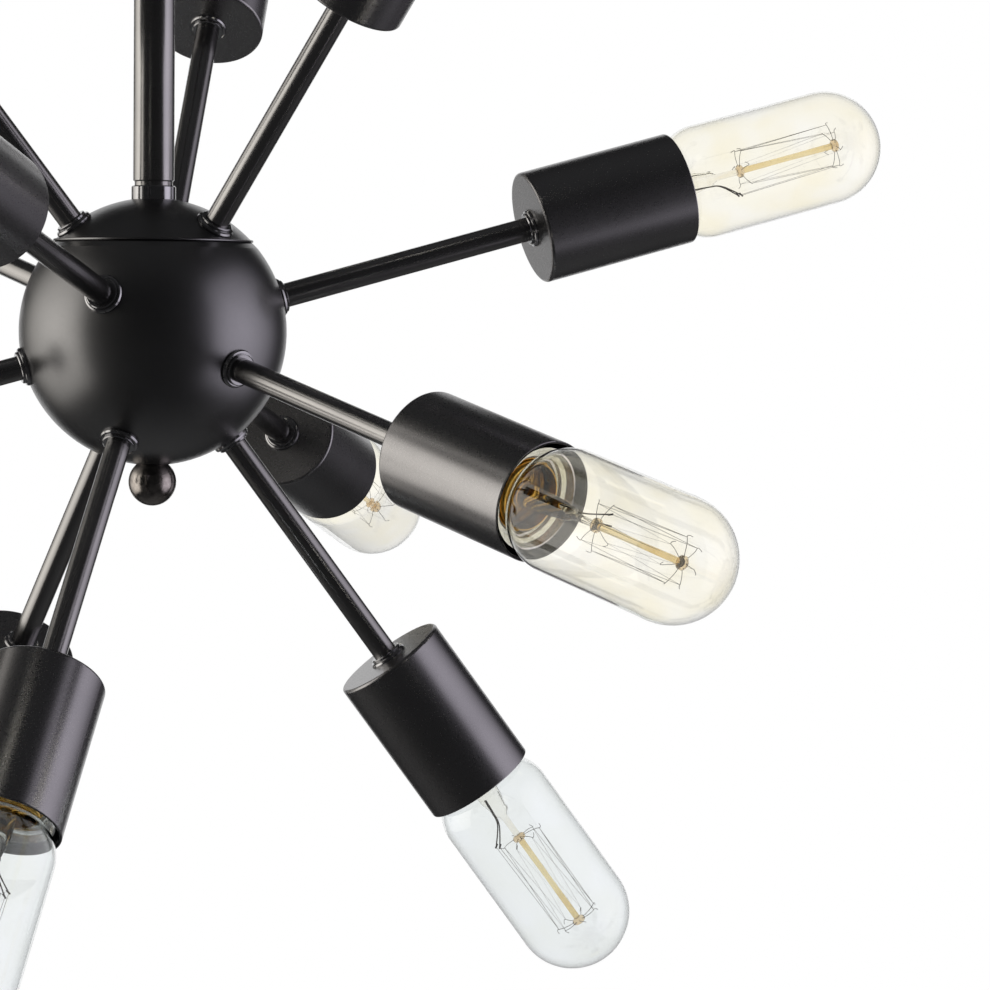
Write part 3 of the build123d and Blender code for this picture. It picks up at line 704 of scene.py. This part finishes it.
def clear_glass(name, tint, tint_deep, edge=None):
    """Lamp glass: refraction, a tint with slow drawing streaks, and faint waves in the surface."""
    material, tree, shader = new_material(name)
    place = add_node(tree, "ShaderNodeTexCoord").outputs["Object"]
    waves = add_node(tree, "ShaderNodeTexNoise", {
        "Vector": place, "Scale": 1 / (WAVE_MM * MM), "Detail": 1})
    shade = add_node(tree, "ShaderNodeValToRGB", {"Fac": waves.outputs["Fac"]})
    tinted = set_ramp(shade, (0.35, colour(tint_deep)), (0.65, colour(tint)))
    if edge:
        along_wall = add_node(tree, "ShaderNodeLayerWeight", {"Blend": 0.5}).outputs["Facing"]
        share = add_node(tree, "ShaderNodeMapRange", {
            "Value": along_wall, "From Min": EDGE_STARTS, "From Max": 1.0}).outputs["Result"]
        mixed = add_node(tree, "ShaderNodeMix", {
            "Factor": share, MIX_FIRST: tinted, MIX_SECOND: colour(edge)}, data_type="RGBA")
        tinted = mixed.outputs[MIX_RESULT]
    tree.links.new(tinted, shader.inputs["Base Color"])
    bump = add_node(tree, "ShaderNodeBump", {
        "Height": waves.outputs["Fac"], "Strength": 0.25, "Distance": WAVE_DEPTH_MM * MM})
    tree.links.new(bump.outputs["Normal"], shader.inputs["Normal"])
    shader.inputs["Transmission Weight"].default_value = 1.0
    shader.inputs["IOR"].default_value = SODA_GLASS_IOR
    shader.inputs["Roughness"].default_value = 0.0
    return material


amber_glass = clear_glass("amber tinted soda glass", "#fffefa", "#fefbf0", edge="#dcdfe4")
pale_glass = clear_glass("pale soda glass", "#f7f9fa", "#f5f7f6", edge="#d6d9da")
stem_glass = clear_glass("lead glass of the stem", "#fbfaf6", "#f5f2ea", edge="#a9a6a0")
rod_glass = clear_glass("straw coloured glass rod", "#ecdcb0", "#dfc489")
hub_glass = clear_glass("browned glass of the hubs", "#ecdcc0", "#d9bf97", edge="#94836c")
finish_piece(glass_model, amber_glass, SOFT_EDGE)
print("five glasses, waves", WAVE_MM, "mm long")

# %% [markdown]
# ## What the glass holds
#
# Inside stands the mount. A glass flare, sealed into the neck, narrows to a tube whose hot end was
# pinched flat round the two lead wires. A glass rod rises from the pinch and carries two hubs, and
# fine hooks melted into the hubs hold the filament. Each part of it is a separate piece here. The
# stem is turned round first, and the pinch is then squeezed by moving its points.

# %% Glass stem
NEAR_HUB = 248.5
PINCH_END = 237.0
SQUEEZE_START = 216.0
SQUEEZE_FULL = 224.0
SQUEEZE_END = 239.0
SQUEEZE_RELEASE = 2.0
PINCH_WIDENING = 0.25
PINCH_FLATTENING = 0.42


def glass_stem():
    """Flare, tube and pinch, which is squeezed flat and swells again at its end."""
    flare = NECK_RADIUS - GLASS_WALL - 0.1
    profile = [(flare, NECK_START + 0.3), (flare, NECK_START + 1.3), (flare - 2.4, NECK_START + 1.9),
               (6.2, 208), (4.9, 212), (4.3, 217), (4.1, 222), (3.9, 226), (3.6, 230), (3.0, 233),
               (2.7, 235), (2.9, 236.2), (2.7, PINCH_END), (1.9, 238.1), (1.45, 239.2),
               (1.35, 241), (1.35, NEAR_HUB + 0.2), (0, NEAR_HUB + 0.2)]
    stem = turned("stem", profile, steps=40)
    for vertex in stem.data.vertices:
        height = vertex.co.z / MM
        closing = (height - SQUEEZE_START) / (SQUEEZE_FULL - SQUEEZE_START)
        opening = (SQUEEZE_END - height) / SQUEEZE_RELEASE
        squeeze = max(0.0, min(1.0, closing)) * max(0.0, min(1.0, opening))
        vertex.co.x *= 1 + PINCH_WIDENING * squeeze
        vertex.co.y *= 1 - PINCH_FLATTENING * squeeze
    return stem


stem_model = finish_piece(glass_stem(), stem_glass, SOFT_EDGE)
print("stem:", len(stem_model.data.polygons), "faces")

# %% Rod and hubs
FAR_HUB = 290.5
HUB_HEIGHT = 2.2
HUB_RADIUS = 2.65
ROD_RADIUS = 1.3
ROD_WAIST = 1.15


def hub(name, height):
    """Glass button with a rounded rim, melted onto the rod."""
    top = height + HUB_HEIGHT
    profile = [(0, height - 0.3), (1.5, height - 0.3), (2.1, height), (HUB_RADIUS, height + 0.5),
               (HUB_RADIUS, top - 0.5), (2.1, top), (1.6, top + 0.3), (0, top + 0.3)]
    return turned(name, profile, steps=32)


def centre_rod():
    """Glass rod between the hubs, drawn a little thinner at its middle."""
    start = NEAR_HUB + HUB_HEIGHT
    profile = [(0, start), (ROD_RADIUS, start), (ROD_WAIST, (NEAR_HUB + FAR_HUB) / 2),
               (ROD_RADIUS, FAR_HUB), (0, FAR_HUB)]
    return turned("rod", profile, steps=32)


rod_model = finish_piece(centre_rod(), rod_glass, SOFT_EDGE)
hub_pair = join("hubs", [hub("near_hub", NEAR_HUB), hub("far_hub", FAR_HUB)])
hub_model = finish_piece(hub_pair, hub_glass, SOFT_EDGE)
print("hubs:", FAR_HUB - NEAR_HUB, "mm apart")

# %% [markdown]
# The filament runs in a zigzag from hook to hook. There is one more hook at the far hub than at
# the near one, and the two lead wires take the place of the missing near hook. Each hook stands
# straight out from its hub, ends in a small crook in which the filament lies, and has a short tail.
# Each point of a hook's path is given by its distance from the rod's axis, its turn about that axis
# in degrees, and its reach from the hub's middle towards the other hub.

# %% Hooks
FAR_HOOKS = 7
HOOK_STEP = 360 / FAR_HOOKS
HOOK_WIRE = 0.12
CROOK_RADIUS = 8.9
CROOK_REACH = 1.2
HOOK_PATH = [
    (1.6, 0, 0.0), (4.2, 1, 0.1), (6.8, -1, 0.5), (CROOK_RADIUS, 0, CROOK_REACH),
    (CROOK_RADIUS + 0.5, -1, CROOK_REACH + 0.3), (CROOK_RADIUS + 0.9, -5, CROOK_REACH - 0.4),
    (CROOK_RADIUS + 0.7, -9, CROOK_REACH - 1.2),
]


def polar(radius, degrees, height):
    """A point at a distance from the axis, a turn about it and a height along it."""
    angle = math.radians(degrees)
    return (radius * math.cos(angle), radius * math.sin(angle), height)


def hook(angle, middle, inward):
    """One support wire; inward is +1 or -1, towards the other hub."""
    points = [polar(radius, angle + turn, middle + rise * inward) for radius, turn, rise in HOOK_PATH]
    return wire("hook", points, HOOK_WIRE, rounded=True, sides=1)


near_middle = NEAR_HUB + HUB_HEIGHT / 2
far_middle = FAR_HUB + HUB_HEIGHT / 2
far_angles = [number * HOOK_STEP for number in range(FAR_HOOKS)]
near_angles = [angle + HOOK_STEP / 2 for angle in far_angles[:-1]]
hook_pieces = [hook(angle, near_middle, 1) for angle in near_angles]
hook_pieces += [hook(angle, far_middle, -1) for angle in far_angles]
hooks_model = join("hooks", hook_pieces)
print("hooks:", len(hook_pieces))

# %% [markdown]
# The filament is a very thin carbonised wire that hangs nearly straight. Its lead wires leave the
# side of the pinch, bend outwards and end in a crimp that grips the filament.

# %% Filament
FILAMENT_WIRE = 0.085
LEAD_SPREAD = 13.0
LEAD_END_RADIUS = 9.7
LEAD_END = 247.2
missing_hook = 360 - HOOK_STEP / 2
lead_angles = [missing_hook + LEAD_SPREAD, missing_hook - LEAD_SPREAD]


def filament():
    """Zigzag from one lead over every crook to the other lead."""
    crook_near = near_middle + CROOK_REACH
    crook_far = far_middle - CROOK_REACH
    points = [polar(LEAD_END_RADIUS, lead_angles[0], LEAD_END)]
    for number, angle in enumerate(far_angles):
        points.append(polar(CROOK_RADIUS, angle, crook_far))
        if number < len(near_angles):
            points.append(polar(CROOK_RADIUS, near_angles[number], crook_near))
    points.append(polar(LEAD_END_RADIUS, lead_angles[1], LEAD_END))
    return wire("filament", points, FILAMENT_WIRE, sides=1)


filament_model = filament()
print("filament:", len(filament_model.data.polygons), "faces")

# %% Leads
LEAD_WIRE = 0.27
CRIMP_RADIUS = 0.36
LEAD_PATH = [(2.3, 229), (3.0, 235), (3.3, 239.5), (6.4, 243.6), (LEAD_END_RADIUS, LEAD_END)]
CRIMP_PATH = [(LEAD_END_RADIUS - 1.2, LEAD_END - 0.75), (LEAD_END_RADIUS + 0.5, LEAD_END + 0.3)]


def lead(angle):
    """Lead wire and the crimp at its end."""
    line = [polar(radius, angle, height) for radius, height in LEAD_PATH]
    grip = [polar(radius, angle, height) for radius, height in CRIMP_PATH]
    return join("lead", [wire("lead", line, LEAD_WIRE, rounded=True), wire("crimp", grip, CRIMP_RADIUS)])


leads_model = join("leads", [lead(angle) for angle in lead_angles])
print("leads at", [round(angle) for angle in lead_angles], "degrees")

# %% [markdown]
# Hooks are molybdenum, leads are nickel and the filament is carbonised. All three were drawn
# through dies and then heated in the sealing fire, so they are dull, with darker patches.

# %% Wire finishes
def drawn_wire(name, pale, dark, rough, clean_mm):
    """Drawn wire, tarnished in patches by the heat of sealing."""
    material, tree, shader = new_material(name)
    place = add_node(tree, "ShaderNodeTexCoord").outputs["Object"]
    patches = add_node(tree, "ShaderNodeTexNoise", {
        "Vector": place, "Scale": 1 / (clean_mm * MM), "Detail": 3})
    tint = add_node(tree, "ShaderNodeValToRGB", {"Fac": patches.outputs["Fac"]})
    tree.links.new(set_ramp(tint, (0.4, colour(dark)), (0.6, colour(pale))), shader.inputs["Base Color"])
    shader.inputs["Metallic"].default_value = 0.8
    shader.inputs["Roughness"].default_value = rough
    return material


molybdenum = drawn_wire("molybdenum wire", "#77736e", "#4a4642", rough=0.35, clean_mm=4)
carbon = drawn_wire("carbonised filament", "#7c7468", "#585048", rough=0.6, clean_mm=6)
nickel_wire = drawn_wire("nickel lead wire", "#453f39", "#211d1a", rough=0.35, clean_mm=2)
finish_piece(hooks_model, molybdenum)
finish_piece(filament_model, carbon)
finish_piece(leads_model, nickel_wire)
print("mount modelled")

# %% [markdown]
# ## The screw cap
#
# The cap is rolled brass with the round lamp thread, 3.6 mm to a turn. One turn of the half
# section is drawn as a wave and the Screw modifier winds it up.

# %% Round thread
THREAD_PITCH = 3.63
THREAD_STEPS = 48
WAVE_POINTS = 10


def thread(name, crest, depth, start, turns):
    """Round thread: one pitch of a wave, wound about Z."""
    points = []
    for step in range(WAVE_POINTS + 1):
        share = step / WAVE_POINTS
        radius = crest - depth * (0.5 - 0.5 * math.cos(math.tau * share))
        points.append((radius, 0, start + THREAD_PITCH * share))
    piece = draw_path(name, points)
    bpy.ops.object.mode_set(mode="OBJECT")
    apply_modifier(piece, "SCREW", screw_offset=THREAD_PITCH * MM, iterations=turns,
                   steps=THREAD_STEPS, render_steps=THREAD_STEPS,
                   use_merge_vertices=True, merge_threshold=WELD_DISTANCE / 2)
    bpy.ops.object.mode_set(mode="EDIT")
    weld()
    return piece


print("thread:", THREAD_PITCH, "mm to a turn")

# %% [markdown]
# A plain collar joins the thread to the glass. Past the thread come a tapered end, a black glass
# insulator and a drop of solder as the contact. The drop ends 0.05 mm short of the lampholder's
# spring, so that the two never share a face.

# %% Screw cap
CAP_START = 193.5
CAP_END = 216.0
CAP_RADIUS = 12.95
CAP_WALL = 0.5
CAP_TAPER = 2.2
CAP_MOUTH = 6.4
THREAD_TURNS = 4
THREAD_DEPTH = 0.85


def screw_cap():
    """Thread between a plain collar at the glass and a tapered end at the insulator."""
    root = CAP_RADIUS - THREAD_DEPTH
    thread_start = CAP_START + CAP_TAPER
    thread_end = thread_start + THREAD_PITCH * (THREAD_TURNS + 1)
    winding = thread("cap_thread", CAP_RADIUS, THREAD_DEPTH, thread_start, THREAD_TURNS)
    collar = turned("cap_collar", [
        (root - 0.2, thread_end - 3.4), (root, thread_end - 3.0), (CAP_RADIUS, thread_end - 2.2),
        (CAP_RADIUS, CAP_END), (CAP_RADIUS - CAP_WALL, CAP_END), (root - CAP_WALL, thread_end - 3.0),
    ], closed=True)
    end = turned("cap_end", [
        (CAP_MOUTH, CAP_START), (8.6, CAP_START), (10.8, CAP_START + 0.8), (root, thread_start),
        (root + 0.2, thread_start + 3.4), (root - CAP_WALL, thread_start + 3.4),
        (CAP_MOUTH, CAP_START + 0.8),
    ], closed=True)
    return join("screw_cap", [winding, collar, end])


ROLLED_EDGE = 50
cap_model = finish_piece(screw_cap(), brass_finish, ROLLED_EDGE)
print("cap:", len(cap_model.data.polygons), "faces")

# %% Insulator
FLOW_MM = 3
RIPPLE_DEPTH_MM = 0.1


def black_lamp_glass(name):
    """Opaque glass that was poured into the cap and set with a rippled skin."""
    material, tree, shader = new_material(name)
    place = add_node(tree, "ShaderNodeTexCoord").outputs["Object"]
    flow = add_node(tree, "ShaderNodeTexNoise", {
        "Vector": place, "Scale": 1 / (FLOW_MM * MM), "Detail": 2})
    bump = add_node(tree, "ShaderNodeBump", {
        "Height": flow.outputs["Fac"], "Strength": 0.4, "Distance": RIPPLE_DEPTH_MM * MM})
    tree.links.new(bump.outputs["Normal"], shader.inputs["Normal"])
    shader.inputs["Base Color"].default_value = colour("#141216")
    shader.inputs["Roughness"].default_value = 0.12
    return material


insulator_shape = turned("insulator", [
    (0, CAP_START + 1.4), (6.6, CAP_START + 1.4), (6.6, CAP_START - 0.3),
    (5.6, CAP_START - 1.1), (3.6, CAP_START - 1.6), (0, CAP_START - 1.6),
], steps=48)
insulator_model = finish_piece(insulator_shape, black_lamp_glass("black glass insulator"))
print("insulator:", len(insulator_model.data.polygons), "faces")

# %% Contact
CONTACT_TIP = 190.55
CONTACT_RADIUS = 3.7
CONTACT_RISE = 2.1


def contact():
    """Drop of solder with a domed tip and a flat back."""
    drop = [(0, CONTACT_TIP)]
    for share in (0.3, 0.55, 0.75, 0.9, 1.0):
        rise = CONTACT_RISE * (1 - math.sqrt(1 - share * share))
        drop.append((share * CONTACT_RADIUS, CONTACT_TIP + rise))
    drop.append((0, CONTACT_TIP + CONTACT_RISE + 0.1))
    return turned("contact", drop, steps=40)


solder = clouded_metal("tin solder", "#8f8f8d", "#bdbdb8", rough=0.3, cloud_mm=1.5)
contact_model = finish_piece(contact(), solder)
print("contact:", len(contact_model.data.polygons), "faces")

# %% [markdown]
# ## The shell in the lampholder
#
# The lampholder's own shell has the same thread as seen from inside, and it shows as gold rings
# beside a bulb's neck. Its wave is a little wider than the cap's, so that the bulb turns freely.

# %% Threaded shell
SHELL_START = 188.2
SHELL_CREST = 13.55
SHELL_TURNS = 5
SHELL_DEPTH = 0.5
SHELL_INSIDE = 13.1
RIM_START = 210.5
RIM_END = 212.9
FLOOR_HOLE = 6.0
SHEET = 0.4


def threaded_shell():
    """Winding between a plain rim at the mouth and a floor with a hole for the contact."""
    winding = thread("shell_thread", SHELL_CREST, SHELL_DEPTH, SHELL_START + 3.0, SHELL_TURNS)
    rim = turned("shell_rim", [
        (SHELL_CREST, RIM_END), (SHELL_INSIDE, RIM_END),
        (SHELL_INSIDE, RIM_START), (SHELL_CREST, RIM_START),
    ], closed=True)
    floor = turned("shell_floor", [
        (FLOOR_HOLE, SHELL_START), (13.3, SHELL_START), (13.5, SHELL_START + 3.2),
        (SHELL_INSIDE, SHELL_START + 3.2), (12.9, SHELL_START + SHEET), (FLOOR_HOLE, SHELL_START + SHEET),
    ], closed=True)
    return join("threaded_shell", [winding, rim, floor])


shell_model = finish_piece(threaded_shell(), brass_finish, ROLLED_EDGE)
print("shell:", len(shell_model.data.polygons), "faces")

# %% [markdown]
# ## Onto the arms
#
# Every bulb piece is copied onto each of the twelve arms, with a turn of its own about the arm,
# because no two bulbs stop at the same angle when they are screwed in. The glass of the three
# lowest bulbs gets the paler tint. Each copy rides on its bulb's body, so it moves out with it, and
# the shells stay with the stem. The models themselves are removed at the end.

# %% Place the copies
BULB_TURNS = {
    "upper_1": 296, "upper_2": 250, "upper_3": 130,
    "lower_1": 75, "lower_2": 310, "lower_3": 31,
    "lid_1": 160, "lid_2": 40, "lid_3": 290,
    "base_1": 288, "base_2": 225, "base_3": 345,
}


def copy_to_arm(model, name, arm, body, turn=0.0):
    """Puts a copy of a model on an arm, with its place in its mesh."""
    piece = model.copy()
    piece.data = model.data.copy()
    piece.name = name
    bpy.context.scene.collection.objects.link(piece)
    piece.data.transform(arms[arm] @ Matrix.Rotation(math.radians(turn), 4, "Z"))
    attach(piece, body)
    return piece


bulb_pieces = {
    "glass": (glass_model, "amber_glass"),
    "stem": (stem_model, "amber_glass"),
    "rod": (rod_model, "amber_glass"),
    "hubs": (hub_model, "amber_glass"),
    "hooks": (hooks_model, "zinc_steel"),
    "filament": (filament_model, "zinc_steel"),
    "leads": (leads_model, "zinc_steel"),
    "cap": (cap_model, "bulb_brass"),
    "insulator": (insulator_model, "bulb_brass"),
    "contact": (contact_model, "bulb_brass"),
}
for arm in arms:
    for part, (model, slot) in bulb_pieces.items():
        piece = copy_to_arm(model, f"bulb_{arm}_{part}", arm, f"bulb_{arm}", BULB_TURNS[arm])
        if part == "glass":
            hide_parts(f"bulb_glass_{arm}")
            piece.data.materials[0] = pale_glass if arm.startswith("base") else amber_glass
        if part == "cap":
            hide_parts(f"bulb_base_{arm}")
    shell = copy_to_arm(shell_model, f"shell_{arm}", arm, "stem")
    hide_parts("screw_shells")
for model in [entry[0] for entry in bulb_pieces.values()] + [shell_model]:
    bpy.data.objects.remove(model)
print("pieces placed:", len(arms) * (len(bulb_pieces) + 1))

# %% [markdown]
# ## Done
#

# %% Update the view layer
bpy.context.view_layer.update()
